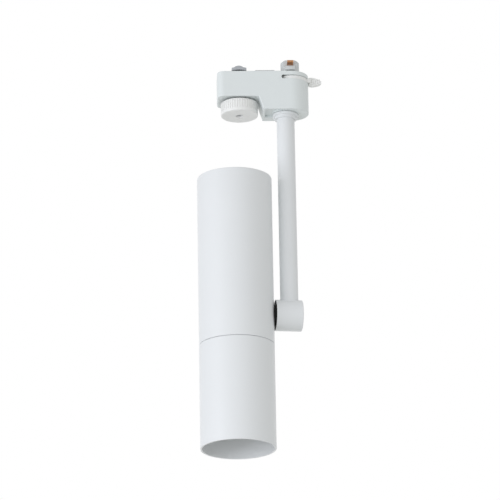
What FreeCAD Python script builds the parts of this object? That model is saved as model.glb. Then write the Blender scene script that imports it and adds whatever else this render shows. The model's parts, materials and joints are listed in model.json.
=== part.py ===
"""Track spotlight: a round barrel lamp on a side-mounted stem, hung from a two-wire rail adapter.

Millimetres, +Z up. The origin is where the stem's pan axis meets the deck of the adapter, which is
the plane of the rail's underside. +X runs along the rail, towards the turn lever, and -Y is the front.
The stem and the head are modelled with the tilt axis along X, and turned by REST_PAN on export.
"""

import FreeCAD
import Part
import math
import os

Vector = FreeCAD.Vector
X_AXIS = Vector(1, 0, 0)
Y_AXIS = Vector(0, 1, 0)
Z_AXIS = Vector(0, 0, 1)

# ---------------------------------------------------------------- driving dimensions
REST_PAN = 6.1              # degrees that the head is turned towards the front at rest

ADAPTER_LEFT = -55.2        # end of the housing on the knob's side
ADAPTER_HALF_WIDTH = 14.6   # also the radius of the round end
ADAPTER_CORNER = 5.5        # upright corners on the knob's side
KNOB_SIDE_BOTTOM = -21.7    # the housing is shallow over the knob
STEM_SIDE_BOTTOM = -32.8    # and deep over the stem
STEP_TOP_X = -21.8          # the slanted wall between the two depths
STEP_BOTTOM_X = -18.2
WALL = 2.0
FLOOR = 3.0

TURRET_X = 4.3              # axis of the contact turret and of the round end
LOCK_X = -37.3              # axis of the lock knob
COVER_THICKNESS = 2.5
RAIL_SLOT = 16.0            # opening between the rail's lips
HOOK_REACH = 11.5           # how far wings and plate reach behind the lips
HOOK_Z = 2.3                # their underside, above lips 2 mm thick
SLOT_LEFT = -3.2            # the lever's slot in the housing wall
SLOT_TOP = -3.2
SLOT_BOTTOM = -6.7

KNOB_RADIUS = 15.0
KNOB_TOP = -23.45
KNOB_BOTTOM = -33.86
KNOB_RIBS = 46
KNOB_PLAIN_BAND = 2.6       # unribbed, above the knob's lower edge
KNOB_TOP_BAND = 0.6
KNOB_GROOVE = 0.65
LOCK_SHAFT_RADIUS = 3.0

THREAD_RADIUS = 5.0         # M10 x 1 lamp thread, on both nipples and on the tilt axle
WIRE_BORE = 3.6
COLLAR_RADIUS = 10.4
COLLAR_STEP_RADIUS = 9.0    # its lower half is narrower
COLLAR_TOP = STEM_SIDE_BOTTOM - 0.3
COLLAR_STEP = -35.5
COLLAR_BOTTOM = -37.4
STEM_RADIUS = 7.25
STEM_BORE = 5.8
NIPPLE_TOP = -16.0

PIVOT_Z = -203.9            # height of the tilt axis
KNUCKLE_RADIUS = 12.5
KNUCKLE_LEFT = -11.6        # its end on the barrel's side
KNUCKLE_RIGHT = 9.7
SPACER_RADIUS = 11.7
SPACER_BOSS_RADIUS = 8.0
SPACER_FACE = -11.15        # sunk a little in the knuckle's end

BARREL_X = -42.7            # axis of the barrel
BARREL_RADIUS = 30.0
BARREL_WALL = 1.5
BARREL_TOP = -90.0
SEAM_Z = -230.0
SEAM_GAP = 0.3
BARREL_BOTTOM = -315.0

SOCKET_TOP = -226.5
LAMP_TOP = -242.5
LAMP_FRONT = -291.5
LAMP_RADIUS = 24.7
PIN_OFFSET = 5.0            # GU10: pins 10 mm apart

WIRE_RADIUS = 0.9
WIRE_OFFSET = 1.5           # the two leads lie side by side in every bore
WIRE_X = 1.8                # where they lie in the stem, to ease the turn in the knuckle
CLEARANCE = 0.3             # between bodies that move past each other
RUNNING = 0.05              # radial clearance of a shaft in its bore

BARREL_BORE = BARREL_RADIUS - BARREL_WALL
ROUND_END_X = TURRET_X + ADAPTER_HALF_WIDTH


# ---------------------------------------------------------------- shared shapes
def rod(radius, z_from, z_to, x=0.0, y=0.0):
    """An upright cylinder between two heights."""
    low = min(z_from, z_to)
    return Part.makeCylinder(radius, abs(z_to - z_from), Vector(x, y, low), Z_AXIS)


def tube(outer, inner, z_from, z_to, x=0.0, y=0.0):
    """An upright tube between two heights."""
    reach = 1.0
    bore = rod(inner, min(z_from, z_to) - reach, max(z_from, z_to) + reach, x, y)
    return rod(outer, z_from, z_to, x, y).cut(bore)


def rod_x(radius, x_from, x_to, z=PIVOT_Z, y=0.0):
    """A cylinder along X, on the tilt axis unless told otherwise."""
    low = min(x_from, x_to)
    return Part.makeCylinder(radius, abs(x_to - x_from), Vector(low, y, z), X_AXIS)


def tube_x(outer, inner, x_from, x_to):
    """A tube along the tilt axis."""
    return rod_x(outer, x_from, x_to).cut(rod_x(inner, min(x_from, x_to) - 1, max(x_from, x_to) + 1))


def block(x_from, x_to, y_from, y_to, z_from, z_to):
    """A box between two corners."""
    size = (x_to - x_from, y_to - y_from, z_to - z_from)
    return Part.makeBox(*size, Vector(x_from, y_from, z_from))


def hexagon(across_flats, length, base, direction):
    """A hexagonal prism, as a nut blank."""
    corner = across_flats / math.sqrt(3)
    points = [Vector(corner * math.cos(math.pi / 3 * i), corner * math.sin(math.pi / 3 * i), 0)
              for i in range(7)]
    prism = Part.Face(Part.makePolygon(points)).extrude(Vector(0, 0, length))
    prism.Placement = FreeCAD.Placement(base, FreeCAD.Rotation(Z_AXIS, direction))
    return prism


def revolved(profile, x=0.0, y=0.0):
    """A solid turned about an upright axis from (radius, height) points."""
    points = [Vector(radius, 0, height) for radius, height in profile]
    face = Part.Face(Part.makePolygon(points + points[:1]))
    turned = face.revolve(Vector(0, 0, 0), Z_AXIS, 360)
    turned.translate(Vector(x, y, 0))
    return turned


def pan_screw(head_radius, head_height, shank_radius, shank_length, countersunk=False):
    """A cross-recessed screw along -Z, whose head's seat is at the origin and whose head is above it."""
    if countersunk:
        head = Part.makeCone(shank_radius, head_radius, head_height, Vector(0, 0, 0), Z_AXIS)
    else:
        dome = Part.makeSphere(head_radius * 1.5, Vector(0, 0, head_height - head_radius * 1.5))
        head = rod(head_radius, 0, head_height).common(dome)
    screw = head.fuse(rod(shank_radius, 0, -shank_length))
    arm = head_radius * 0.62
    thick = head_radius * 0.14
    recess_floor = head_height * 0.35
    for half_x, half_y in ((arm, thick), (thick, arm)):
        screw = screw.cut(block(-half_x, half_x, -half_y, half_y, recess_floor, head_height + 1))
    return screw.removeSplitter()


def placed(shape, base, direction=Z_AXIS):
    """A copy of a shape made at the origin along +Z, moved to base and turned to direction."""
    moved = shape.copy()
    moved.Placement = FreeCAD.Placement(base, FreeCAD.Rotation(Z_AXIS, direction))
    return moved


def lead(points):
    """A round insulated wire: straight runs joined by tangent arcs through a few points."""
    points = [Vector(*point) for point in points]
    edges = []
    start = points[0]
    last = len(points) - 2
    for i in range(1, len(points) - 1):
        before = points[i] - points[i - 1]
        after = points[i + 1] - points[i]
        room = min(before.Length * (0.9 if i == 1 else 0.45), after.Length * (0.9 if i == last else 0.45))
        into = before.normalize()
        out = after.normalize()
        half_turn = into.getAngle(out) / 2
        radius = room / math.tan(half_turn)
        arc_start = points[i] - into * room
        arc_end = points[i] + out * room
        bisector = (out - into).normalize()
        middle = points[i] + bisector * (radius / math.cos(half_turn) - radius)
        edges.append(Part.LineSegment(start, arc_start).toShape())
        edges.append(Part.Arc(arc_start, middle, arc_end).toShape())
        start = arc_end
        print("lead bend radius %.1f mm" % radius)
    edges.append(Part.LineSegment(start, points[-1]).toShape())
    path = Part.Wire(edges)
    first_run = (points[1] - points[0]).normalize()
    section = Part.Wire(Part.Circle(points[0], first_run, WIRE_RADIUS).toShape())
    return path.makePipeShell([section], True, True)


def edges_at(shape, test):
    """The edges of a shape that pass a test on their bounding box."""
    return [edge for edge in shape.Edges if test(edge.BoundBox)]


# ---------------------------------------------------------------- rail adapter
def adapter_plan(inset):
    """The housing's outline from above, taken in by inset: square-ish at the knob, round at the lever."""
    half = ADAPTER_HALF_WIDTH - inset
    left = ADAPTER_LEFT + inset
    corner = ADAPTER_CORNER - inset
    bend = corner * (1 - math.sqrt(0.5))
    edges = [
        Part.LineSegment(Vector(left + corner, -half, 0), Vector(TURRET_X, -half, 0)),
        Part.Arc(Vector(TURRET_X, -half, 0), Vector(TURRET_X + half, 0, 0), Vector(TURRET_X, half, 0)),
        Part.LineSegment(Vector(TURRET_X, half, 0), Vector(left + corner, half, 0)),
        Part.Arc(Vector(left + corner, half, 0), Vector(left + bend, half - bend, 0),
                 Vector(left, half - corner, 0)),
        Part.LineSegment(Vector(left, half - corner, 0), Vector(left, corner - half, 0)),
        Part.Arc(Vector(left, corner - half, 0), Vector(left + bend, bend - half, 0),
                 Vector(left + corner, -half, 0)),
    ]
    return Part.Face(Part.Wire([edge.toShape() for edge in edges]))


def adapter_body(inset, floor, top):
    """The two-depth body of the housing, taken in by inset at the sides and by floor at the bottom."""
    bottom = STEM_SIDE_BOTTOM + floor
    body = adapter_plan(inset).extrude(Vector(0, 0, top - bottom))
    body.translate(Vector(0, 0, bottom))
    step = KNOB_SIDE_BOTTOM + floor
    slope = (STEP_BOTTOM_X - STEP_TOP_X) / (STEM_SIDE_BOTTOM - KNOB_SIDE_BOTTOM)
    step_x = STEP_TOP_X + inset + slope * floor
    low = bottom - 10
    corners = [(ADAPTER_LEFT - 5, step), (step_x, step), (step_x + slope * (low - step), low),
               (ADAPTER_LEFT - 5, low)]
    points = [Vector(x, -ADAPTER_HALF_WIDTH - 5, z) for x, z in corners]
    notch = Part.Face(Part.makePolygon(points + points[:1]))
    return body.cut(notch.extrude(Vector(0, 2 * ADAPTER_HALF_WIDTH + 10, 0)))


COVER_SCREW_PLACES = ((-49.4, -8.6), (-49.4, 8.6), (-12.5, -9.6), (-12.5, 9.6))
COVER_RIM = 1.2
BUSH_RADIUS = 6.5
PAN_BOSS_TOP = -27.0
PAN_WASHER_TOP = PAN_BOSS_TOP + 2.0
STOP_TAB = 1.5
POST_RADIUS = 2.3
POST_WEB_END = 13.0
LOCK_BOSS_RADIUS = 6.0
LOCK_BOSS_TOP = -16.0
PAN_BOSS_RADIUS = 9.0
STOP_RIB_INNER = 10.1
STOP_RIB_OUTER = 13.0
POCKET = (-16.6, -3.0, -13.4, 5.8)      # left, right, front and back of the hollow beside the collar
POCKET_DEPTH = 1.8
TONGUE = (-24.6, -8.2)                  # the deck's tongue, along the rail
TONGUE_WALL = 2.0
TONGUE_TOP = 3.4
TONGUE_FLOOR = 1.4
TONGUE_RIBS = (-19.2, -14.8)
GUIDE = (-53.3, -50.0)                  # and the end guide
GUIDE_HALF = 4.0
SCREW_SINK = 1.35


def make_adapter_housing():
    """One-piece moulded shell, open at the top, with posts, two bearing bosses and the lever's slot."""
    shell = adapter_body(0, 0, 0)
    bottom_rim = edges_at(shell, lambda box: box.ZMax < KNOB_SIDE_BOTTOM + 0.01)
    shell = shell.makeFillet(0.8, bottom_rim)
    top_rim = edges_at(shell, lambda box: box.ZMin > -0.01)
    shell = shell.makeChamfer(0.35, top_rim)
    shell = shell.cut(adapter_body(WALL, FLOOR, 1))
    cover_seat = adapter_plan(COVER_RIM).extrude(Vector(0, 0, COVER_THICKNESS + 1))
    cover_seat.translate(Vector(0, 0, -COVER_THICKNESS))
    shell = shell.cut(cover_seat)

    for x, y in COVER_SCREW_PLACES:
        floor = (KNOB_SIDE_BOTTOM if x < STEP_TOP_X else STEM_SIDE_BOTTOM) + FLOOR / 2
        outward = math.copysign(1, y)
        post = rod(POST_RADIUS, floor, -COVER_THICKNESS, x, y)
        near, far = sorted((y, outward * POST_WEB_END))
        web = block(x - 0.8, x + 0.8, near, far, floor, -COVER_THICKNESS)
        shell = shell.fuse(post.fuse(web))
        shell = shell.cut(rod(1.1, -COVER_THICKNESS - 9, 0, x, y))

    floor_middle = STEM_SIDE_BOTTOM + FLOOR / 2
    lock_boss = rod(LOCK_BOSS_RADIUS, KNOB_SIDE_BOTTOM + FLOOR / 2, LOCK_BOSS_TOP, LOCK_X)
    pan_boss = rod(PAN_BOSS_RADIUS, floor_middle, PAN_BOSS_TOP)
    stop_rib = block(-STOP_TAB / 2, STOP_TAB / 2, -STOP_RIB_OUTER, -STOP_RIB_INNER, floor_middle,
                     PAN_WASHER_TOP + 1.5)
    shell = shell.fuse([lock_boss, pan_boss, stop_rib])
    shell = shell.cut(rod(LOCK_SHAFT_RADIUS + RUNNING, -40, 0, LOCK_X))
    shell = shell.cut(rod(BUSH_RADIUS, -40, 0))

    slot_half = (SLOT_TOP - SLOT_BOTTOM) / 2
    slot_end = Part.makeCylinder(slot_half, 20, Vector(SLOT_LEFT + slot_half, -20, SLOT_TOP - slot_half),
                                 Y_AXIS)
    slot = block(SLOT_LEFT + slot_half, ROUND_END_X + 5, -20, 6.2, SLOT_BOTTOM, SLOT_TOP)
    shell = shell.cut(slot.fuse(slot_end))

    pocket = block(*POCKET, STEM_SIDE_BOTTOM - 1, STEM_SIDE_BOTTOM + POCKET_DEPTH)
    shell = shell.cut(pocket.cut(rod(COLLAR_RADIUS + CLEARANCE, -40, 0)))
    return shell.removeSplitter()


def make_adapter_cover():
    """Deck plate with the tongue and the end guide that ride in the rail's slot."""
    plate = adapter_plan(COVER_RIM + 0.1).extrude(Vector(0, 0, COVER_THICKNESS))
    plate.translate(Vector(0, 0, -COVER_THICKNESS))
    left, right = TONGUE
    half = RAIL_SLOT / 2 - CLEARANCE
    inner = half - TONGUE_WALL
    tongue = block(left, right, -half, half, -1, TONGUE_TOP)
    tongue = tongue.makeFillet(1.2, edges_at(tongue, lambda box: box.ZLength > 4))
    tongue = tongue.makeChamfer(0.5, edges_at(tongue, lambda box: box.ZMin > TONGUE_TOP - 0.1))
    hollow = block(left + TONGUE_WALL, right - TONGUE_WALL, -inner, inner, TONGUE_FLOOR, TONGUE_TOP + 1)
    ribs = [block(x, x + 1.2, -inner, inner, TONGUE_FLOOR, TONGUE_TOP) for x in TONGUE_RIBS]
    tongue = tongue.cut(hollow).fuse(ribs)
    guide = block(*GUIDE, -GUIDE_HALF, GUIDE_HALF, -1, TONGUE_TOP)
    guide = guide.makeChamfer(0.5, edges_at(guide, lambda box: box.ZMin > TONGUE_TOP - 0.1))
    plate = plate.fuse([tongue, guide])
    plate = plate.cut(rod(TURRET_RADIUS + 2 * RUNNING, -5, 5, TURRET_X))
    plate = plate.cut(rod(LOCK_SHAFT_RADIUS + 2 * RUNNING, -5, 5, LOCK_X))
    for x, y in COVER_SCREW_PLACES:
        plate = plate.cut(rod(1.25, -5, 5, x, y))
        plate = plate.cut(Part.makeCone(1.25, 2.6, SCREW_SINK, Vector(x, y, -SCREW_SINK), Z_AXIS))
    return plate.removeSplitter()


def make_cover_screws():
    """Four countersunk self-tapping screws that hold the deck down on its posts."""
    screw = pan_screw(2.45, 1.3, 1.05, 8.0, countersunk=True)
    return [placed(screw, Vector(x, y, -SCREW_SINK)) for x, y in COVER_SCREW_PLACES]


def make_pan_bush():
    """Flanged bearing bush that the stem's nipple turns in."""
    bush = tube(BUSH_RADIUS, THREAD_RADIUS + RUNNING, STEM_SIDE_BOTTOM, PAN_BOSS_TOP)
    return bush.fuse(tube(8.6, THREAD_RADIUS + RUNNING, PAN_BOSS_TOP, PAN_BOSS_TOP + 1.0)).removeSplitter()


def make_adapter_lead(side):
    """The slack wire between the turret and the top of the stem."""
    y = side * WIRE_OFFSET
    return lead([(TURRET_X, y, -8.5), (TURRET_X, y, -11.0), (WIRE_X, y, -13.2),
                 (WIRE_X, y, NIPPLE_TOP + 0.2)])


# ---------------------------------------------------------------- contact turret
TURRET_RADIUS = 7.5
TURRET_TOP = 12.6
TURRET_HEAD_BOTTOM = 6.6    # above it the post is flattened front and back
TURRET_HEAD_HALF = 5.2
HOOK_HALF_WIDTH = 3.6
HOOK_THICKNESS = 2.8
TURRET_BORE = 2.6
LEVER_TOP = SLOT_TOP - CLEARANCE
LEVER_BOTTOM = SLOT_BOTTOM + 0.25
CONTACT_Z = 8.3
CONTACT_THICKNESS = 0.8
CONTACT_HALF_WIDTH = 2.5
CONTACT_NOSE = 1.1          # outer radius of its rounded end
LEVER_SCREW_OFFSET = 5.0
LEVER_DISC_RADIUS = 12.2
LEVER_ARM_HALF = 4.4
LEVER_TAB_HALF = 1.7
LEVER_TAB_LENGTH = 9.9
LEVER_TAB_RIBS = 5
LEVER_RIM_RADIUS = 13.2     # a cam rim fills the slot: flush at the arm, and sunk in beside it
LEVER_RIM_SHIFT = 1.1
LEVER_RIM_FROM = -135.0
LEVER_RIM_TO = 24.0


def make_contact_turret():
    """Moulded rotor: a post with two hooks that grip the rail's lips, and a slit for the contacts."""
    turret = rod(TURRET_RADIUS, LEVER_TOP, TURRET_TOP, TURRET_X)
    turret = turret.makeChamfer(1.2, edges_at(turret, lambda box: box.ZMin > TURRET_TOP - 0.01))
    for side in (-1, 1):
        near, far = sorted((side * TURRET_HEAD_HALF, side * 2 * TURRET_RADIUS))
        flat = block(TURRET_X - 10, TURRET_X + 10, near, far, TURRET_HEAD_BOTTOM, TURRET_TOP + 1)
        turret = turret.cut(flat)
    hooks = block(TURRET_X - HOOK_HALF_WIDTH, TURRET_X + HOOK_HALF_WIDTH, -HOOK_REACH, HOOK_REACH,
                  HOOK_Z, HOOK_Z + HOOK_THICKNESS)
    turret = turret.fuse(hooks.common(rod(HOOK_REACH, 0, 10, TURRET_X)))
    slit_half = CONTACT_HALF_WIDTH + 2 * RUNNING
    slit_top = CONTACT_Z + CONTACT_THICKNESS + RUNNING
    slit = block(TURRET_X - slit_half, TURRET_X + slit_half, -12, 12, CONTACT_Z - RUNNING, slit_top)
    turret = turret.cut(slit.fuse(rod(TURRET_BORE, -10, slit_top, TURRET_X)))
    for side in (-1, 1):
        turret = turret.cut(rod(1.0, -10, 1.5, TURRET_X + side * LEVER_SCREW_OFFSET))
    return turret.removeSplitter()


def make_turn_lever():
    """Disc under the deck with an arm through the slot and a ribbed finger tab outside it."""
    disc = rod(LEVER_DISC_RADIUS, LEVER_BOTTOM, LEVER_TOP, TURRET_X)
    sector = Part.makeCylinder(2 * LEVER_RIM_RADIUS, LEVER_TOP - LEVER_BOTTOM, Vector(0, 0, LEVER_BOTTOM),
                               Z_AXIS, LEVER_RIM_TO - LEVER_RIM_FROM)
    sector.rotate(Vector(0, 0, 0), Z_AXIS, LEVER_RIM_FROM)
    sector.translate(Vector(TURRET_X, 0, 0))
    rim = rod(LEVER_RIM_RADIUS, LEVER_BOTTOM, LEVER_TOP, TURRET_X + LEVER_RIM_SHIFT).common(sector)
    disc = disc.fuse(rim).removeSplitter()
    tab_start = ROUND_END_X + 0.4
    arm = block(TURRET_X, tab_start + 2, -LEVER_ARM_HALF, LEVER_ARM_HALF, LEVER_BOTTOM, LEVER_TOP)
    arm = arm.makeFillet(1.2, edges_at(arm, lambda box: box.ZLength > 2 and box.XMin > TURRET_X + 5))
    tip = tab_start + LEVER_TAB_LENGTH
    outline = [Part.LineSegment(Vector(tab_start, 0, -8.1), Vector(tab_start, 0, -1.5)),
               Part.Arc(Vector(tab_start, 0, -1.5), Vector(tab_start + 5.5, 0, -1.9), Vector(tip, 0, -4.2)),
               Part.Arc(Vector(tip, 0, -4.2), Vector(tip + 0.5, 0, -5.3), Vector(tip, 0, -6.4)),
               Part.Arc(Vector(tip, 0, -6.4), Vector(tab_start + 4.8, 0, -8.4), Vector(tab_start, 0, -8.1))]
    face = Part.Face(Part.Wire([edge.toShape() for edge in outline]))
    face.translate(Vector(0, -LEVER_TAB_HALF, 0))
    tab = face.extrude(Vector(0, 2 * LEVER_TAB_HALF, 0))
    for i in range(LEVER_TAB_RIBS):
        for side in (-1, 1):
            rib = rod(0.5, -7.2, -2.9, tab_start + 1.5 + 1.75 * i, side * (LEVER_TAB_HALF + RUNNING))
            tab = tab.fuse(rib)
    lever = disc.fuse([arm, tab]).cut(rod(TURRET_BORE, -10, 0, TURRET_X))
    for side in (-1, 1):
        lever = lever.cut(rod(1.05, -10, 0, TURRET_X + side * LEVER_SCREW_OFFSET))
    return lever.removeSplitter()


def make_lever_screws():
    """Two screws from below that hold the lever to the turret."""
    screw = pan_screw(1.9, 1.3, 1.0, 7.5)
    return [placed(screw, Vector(TURRET_X + side * LEVER_SCREW_OFFSET, 0, LEVER_BOTTOM), Vector(0, 0, -1))
            for side in (-1, 1)]


def make_contact(side):
    """Bronze spring blade: a flat tongue with a rounded nose that touches the rail's conductor."""
    root = 1.3
    reach = HOOK_REACH - 0.6
    left = TURRET_X - CONTACT_HALF_WIDTH
    right = TURRET_X + CONTACT_HALF_WIDTH
    blade = block(left, right, root, reach, CONTACT_Z, CONTACT_Z + CONTACT_THICKNESS)
    nose_z = CONTACT_Z + CONTACT_NOSE
    lip = Part.makeCylinder(CONTACT_NOSE, right - left, Vector(left, reach, nose_z), X_AXIS)
    bore = Part.makeCylinder(CONTACT_NOSE - CONTACT_THICKNESS, 6.0, Vector(left - 0.5, reach, nose_z), X_AXIS)
    keep = block(left, right, reach, reach + 3, CONTACT_Z - 1, CONTACT_Z + 3)
    nose = lip.cut(bore).common(keep)
    contact = blade.fuse(nose).removeSplitter()
    if side < 0:
        contact = contact.mirror(Vector(TURRET_X, 0, 0), Y_AXIS)
    return contact


def make_turret_lead(side):
    """The straight end of a wire, soldered under its contact."""
    return rod(WIRE_RADIUS, -8.3, CONTACT_Z - RUNNING, TURRET_X, side * WIRE_OFFSET)


# ---------------------------------------------------------------- rail lock
CLIP_GROOVE = 2.4
CLIP_RADIUS = 5.6
CLIP_BOTTOM = -13.3
CLIP_TOP = -12.3
CLIP_MOUTH = 2.0
SPRING_RADIUS = 4.3
SPRING_WIRE = 0.45
SPRING_TURNS = 5
LOCK_NECK_RADIUS = 2.5      # above the plate's shoulder
LOCK_PLATE_HALF = 6.0
LOCK_PLATE_THICKNESS = 2.2
KNOB_BORE = 13.0
KNOB_HUB = 5.6
KNOB_WEB_TOP = -30.5
KNOB_WEB_BOTTOM = KNOB_BOTTOM + 2.1


def ribbed_outline(radius, depth, count):
    """A circle of ribs with a rounded groove between each two."""
    edges = []
    step = 2 * math.pi / count

    def point(angle, distance):
        return Vector(distance * math.cos(angle), distance * math.sin(angle), 0)

    for i in range(count):
        rib = i * step
        groove = rib + 0.45 * step
        following = rib + step
        edges.append(Part.Arc(point(rib, radius), point((rib + groove) / 2, radius), point(groove, radius)))
        edges.append(Part.Arc(point(groove, radius), point((groove + following) / 2, radius - depth),
                              point(following, radius)))
    return Part.Face(Part.Wire([edge.toShape() for edge in edges]))


def make_lock_knob():
    """Moulded knob: a ribbed cup with a hub for the shaft and a recess for its screw."""
    band_bottom = KNOB_BOTTOM + KNOB_PLAIN_BAND
    band_top = KNOB_TOP - KNOB_TOP_BAND
    band = ribbed_outline(KNOB_RADIUS, KNOB_GROOVE, KNOB_RIBS).extrude(Vector(0, 0, band_top - band_bottom))
    band.translate(Vector(0, 0, band_bottom))
    low_rim = rod(KNOB_RADIUS, KNOB_BOTTOM, band_bottom)
    low_rim = low_rim.makeFillet(0.7, edges_at(low_rim, lambda box: box.ZMax < KNOB_BOTTOM + 0.01))
    high_rim = rod(KNOB_RADIUS, band_top, KNOB_TOP)
    high_rim = high_rim.makeFillet(0.4, edges_at(high_rim, lambda box: box.ZMin > KNOB_TOP - 0.01))
    knob = band.fuse([low_rim, high_rim])
    knob = knob.cut(tube(KNOB_BORE, KNOB_HUB, KNOB_WEB_TOP - 1.0, KNOB_TOP + 1))
    knob = knob.cut(rod(LOCK_SHAFT_RADIUS, KNOB_WEB_TOP, 0))
    knob = knob.cut(rod(1.4, -40, 0))
    recess_depth = KNOB_WEB_BOTTOM - KNOB_BOTTOM
    knob = knob.cut(Part.makeCone(3.1, 2.7, recess_depth, Vector(0, 0, KNOB_BOTTOM), Z_AXIS))
    knob.translate(Vector(LOCK_X, 0, 0))
    return knob


def make_lock_shaft():
    """Turned shaft from the knob, through the housing and the deck, to the lock plate."""
    shaft = rod(LOCK_SHAFT_RADIUS, KNOB_WEB_TOP, HOOK_Z, LOCK_X)
    shaft = shaft.fuse(rod(LOCK_NECK_RADIUS, HOOK_Z, HOOK_Z + 7.0, LOCK_X))
    shaft = shaft.cut(rod(1.3, -40, -22.0, LOCK_X))
    groove = tube(LOCK_SHAFT_RADIUS + 1, CLIP_GROOVE, CLIP_BOTTOM - RUNNING, CLIP_TOP + RUNNING, LOCK_X)
    return shaft.cut(groove).removeSplitter()


def make_lock_plate():
    """Steel plate that turns across the rail's slot and bears on its lips."""
    top = HOOK_Z + LOCK_PLATE_THICKNESS
    plate = block(-LOCK_PLATE_HALF, LOCK_PLATE_HALF, -HOOK_REACH, HOOK_REACH, HOOK_Z, top)
    plate = plate.common(rod(HOOK_REACH, 0, 10)).cut(rod(LOCK_NECK_RADIUS, 0, 10))
    plate.translate(Vector(LOCK_X, 0, 0))
    return plate


def make_lock_plate_nut():
    """Nut that clamps the plate on the shaft's shoulder."""
    nut = hexagon(8.0, 3.8, Vector(LOCK_X, 0, HOOK_Z + LOCK_PLATE_THICKNESS), Z_AXIS)
    return nut.cut(rod(LOCK_NECK_RADIUS, 0, 12, LOCK_X))


def make_knob_screw():
    """Screw in the knob's recess that holds it to the shaft."""
    screw = pan_screw(2.5, 1.3, 1.3, 7.5)
    return placed(screw, Vector(LOCK_X, 0, KNOB_WEB_BOTTOM), Vector(0, 0, -1))


def make_lock_spring():
    """Spring between the deck and the clip, that draws the plate down on the lips."""
    low = CLIP_TOP + SPRING_WIRE
    high = -COVER_THICKNESS - SPRING_WIRE - RUNNING
    helix = Part.makeHelix((high - low) / SPRING_TURNS, high - low, SPRING_RADIUS)
    section = Part.Wire(Part.Circle(Vector(SPRING_RADIUS, 0, 0), Y_AXIS, SPRING_WIRE).toShape())
    spring = helix.makePipeShell([section], True, True)
    spring.translate(Vector(LOCK_X, 0, low))
    return spring


def make_lock_clip():
    """Open ring snapped in the shaft's groove, which the spring presses down on."""
    clip = tube(CLIP_RADIUS, CLIP_GROOVE + RUNNING, CLIP_BOTTOM, CLIP_TOP, LOCK_X)
    mouth = block(LOCK_X, LOCK_X + 10, -CLIP_MOUTH, CLIP_MOUTH, CLIP_BOTTOM - 1, CLIP_TOP + 1)
    return clip.cut(mouth)


# ---------------------------------------------------------------- stem
NIPPLE_BOTTOM = -48.0
UPPER_PLUG_BOTTOM = -50.0
LOWER_PLUG = (-190.0, -176.0)
KNUCKLE_NIPPLE_TOP = -179.0
CUP_RADIUS = 9.9            # bore of the knuckle's right end
BEARING = (-9.2, -7.2)      # wall across the knuckle that the axle turns in
AXLE_END = -2.4
TILT_STOP_ANGLE = 100.0     # each stop, from the tab's place at rest
TILT_WASHER_X = BEARING[1] + RUNNING
TILT_WASHER_THICKNESS = 0.8
WASHER_RADIUS = 8.4


def make_stem_nipple():
    """Hollow threaded nipple that the whole lamp turns on, with the wires inside it."""
    return tube(THREAD_RADIUS, WIRE_BORE, NIPPLE_BOTTOM, NIPPLE_TOP)


def make_pan_washer():
    """Friction washer between the bush and the stop washer."""
    return tube(WASHER_RADIUS, THREAD_RADIUS, PAN_BOSS_TOP + 1.0 + RUNNING, PAN_WASHER_TOP)


def make_pan_stop_washer():
    """Washer keyed to the nipple, whose tab meets the housing's rib at each end of the pan."""
    washer = tube(8.8, THREAD_RADIUS, PAN_WASHER_TOP, PAN_WASHER_TOP + 1.0)
    tab = block(-STOP_TAB / 2, STOP_TAB / 2, 7.5, 11.8, PAN_WASHER_TOP, PAN_WASHER_TOP + 1.0)
    return washer.fuse(tab).removeSplitter()


def make_pan_nut():
    """Nut that sets the friction of the pan."""
    nut = hexagon(17.0, 5.0, Vector(0, 0, PAN_WASHER_TOP + 1.0), Z_AXIS)
    return nut.cut(rod(THREAD_RADIUS, -30, 0))


def make_stem_collar():
    """Round flange at the top of the stem, just below the housing."""
    flange = rod(COLLAR_RADIUS, COLLAR_STEP, COLLAR_TOP)
    flange = flange.makeFillet(0.35, edges_at(flange, lambda box: box.ZLength < 0.01))
    neck = rod(COLLAR_STEP_RADIUS, COLLAR_BOTTOM, COLLAR_STEP + 0.5)
    neck = neck.makeFillet(0.35, edges_at(neck, lambda box: box.ZMax < COLLAR_BOTTOM + 0.01))
    return flange.fuse(neck).cut(rod(THREAD_RADIUS, -40, -30)).removeSplitter()


def make_stem_tube():
    """Straight tube, its lower end cut to sit on the knuckle."""
    stem = tube(STEM_RADIUS, STEM_BORE, PIVOT_Z, COLLAR_BOTTOM)
    stem = stem.cut(rod_x(KNUCKLE_RADIUS, -20, 20))
    return max(stem.Solids, key=lambda solid: solid.Volume)


def make_tube_inserts():
    """Two threaded plugs, pressed in the ends of the stem."""
    return [tube(STEM_BORE, THREAD_RADIUS, UPPER_PLUG_BOTTOM, COLLAR_BOTTOM),
            tube(STEM_BORE, THREAD_RADIUS, *LOWER_PLUG)]


def make_knuckle_nipple():
    """Hollow threaded nipple between the stem and the knuckle."""
    return tube(THREAD_RADIUS, WIRE_BORE, PIVOT_Z + 9.6, KNUCKLE_NIPPLE_TOP)


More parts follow.
